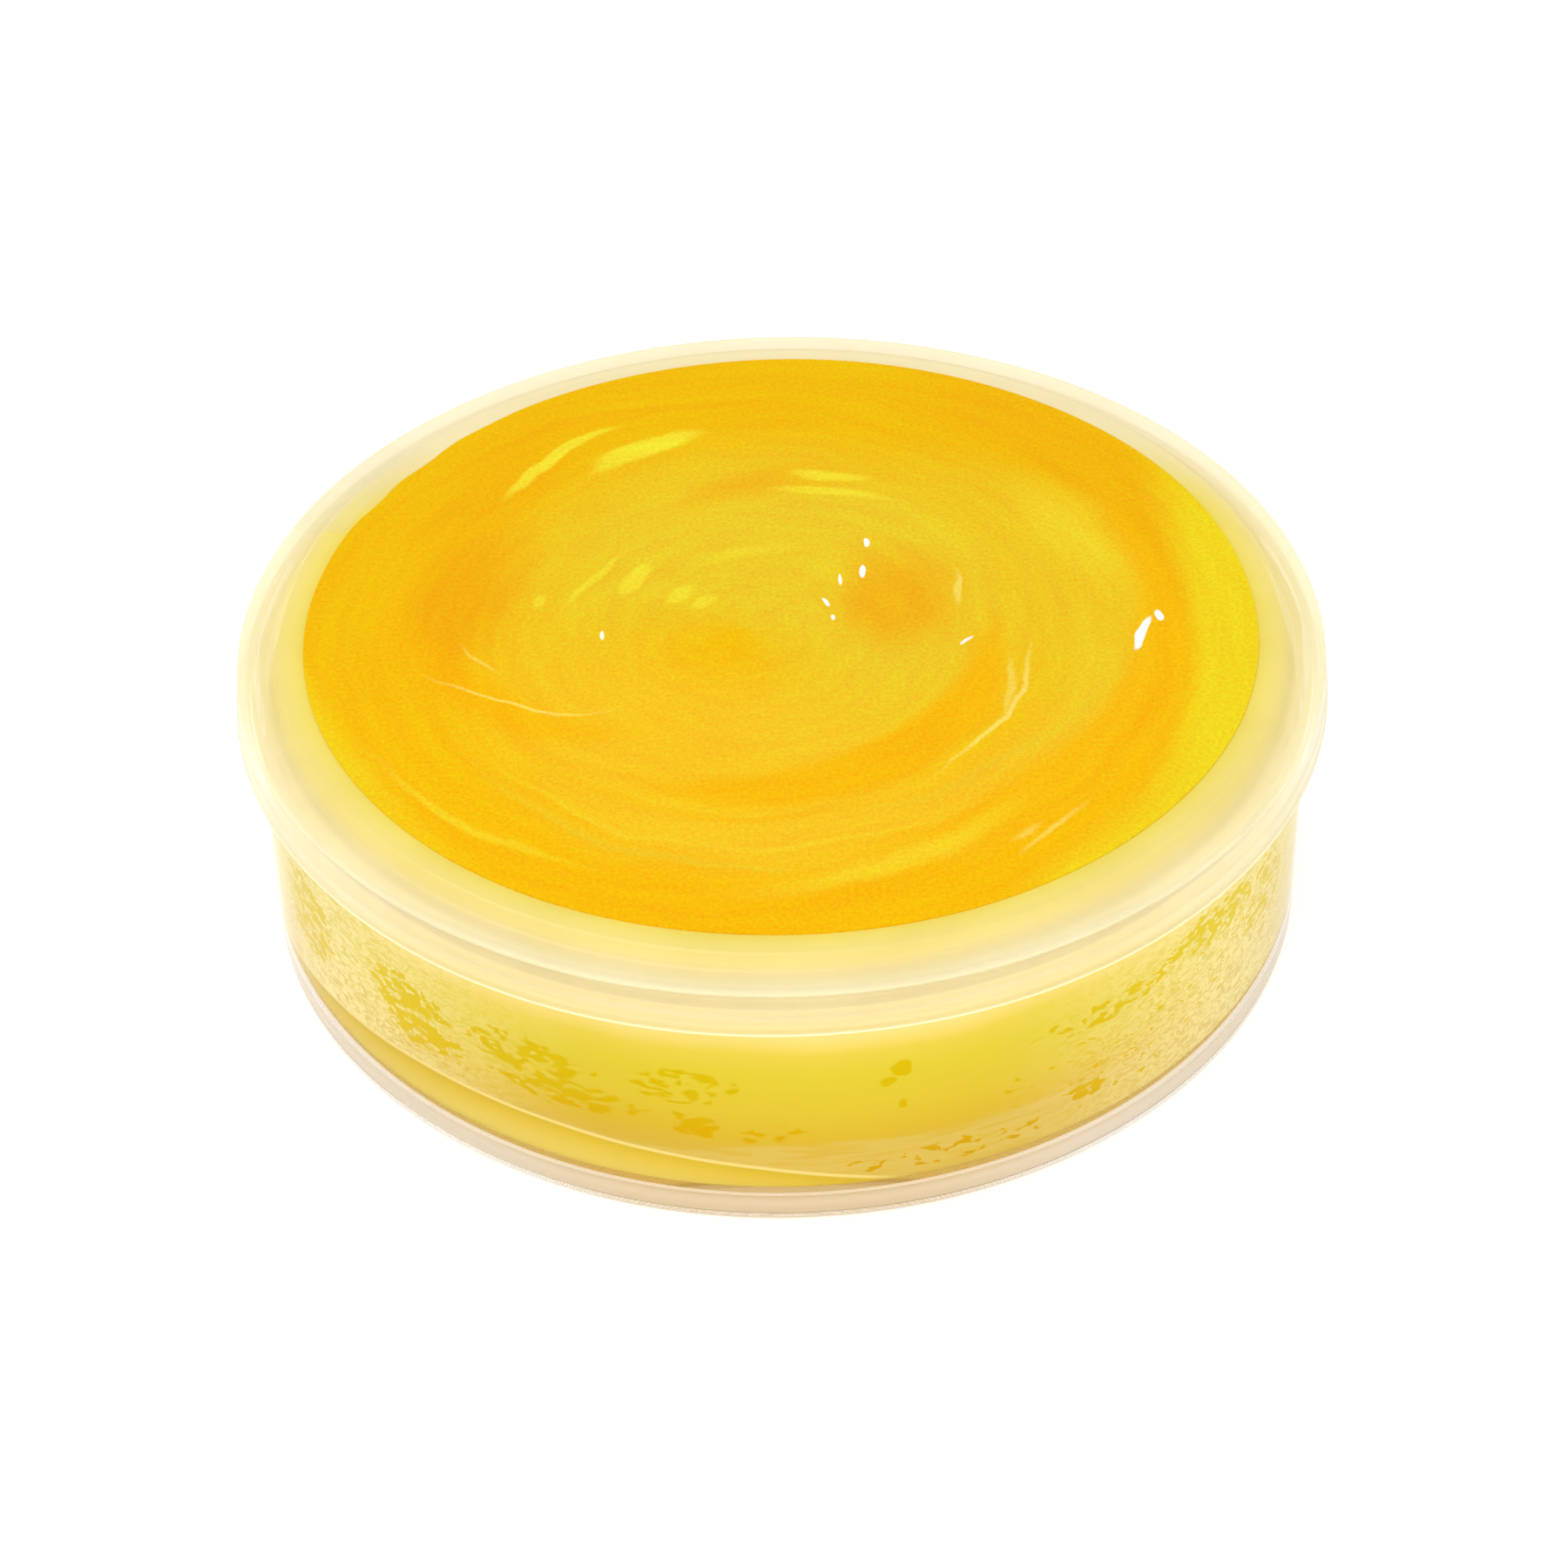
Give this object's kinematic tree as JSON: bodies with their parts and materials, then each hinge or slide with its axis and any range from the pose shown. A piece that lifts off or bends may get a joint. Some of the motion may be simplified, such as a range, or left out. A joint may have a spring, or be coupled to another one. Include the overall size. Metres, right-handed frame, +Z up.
{
  "type": "paint jar",
  "caption": "Low round clear tub of thick yellow paint with a milky press-on lid and a round printed label.",
  "frame": {"origin": "centre of the bottom, on the foot ring's lowest face", "axes": "+Z up along the tub's axis; -Y is the front; the tape lies over the rim at the rear left"},
  "size_m": [0.0874, 0.0874, 0.025],
  "materials": {
    "clear_plastic": "clear, glossy",
    "paint": "thick wet paint, satin",
    "lid_plastic": "milky, soft sheen",
    "label_paper": "matt printed paper",
    "clear_tape": "clear, glossy film"
  },
  "bodies": {
    "cup": {"cup": "clear_plastic", "paint": "paint"},
    "lid": {"lid": "lid_plastic", "label": "label_paper", "seal_tape": "clear_tape"}
  },
  "joints": [
    {"name": "lid_lift", "type": "slide", "parent": "cup", "child": "lid", "axis": [0, 0, 1], "range_m": [0, 0.03]}
  ]
}
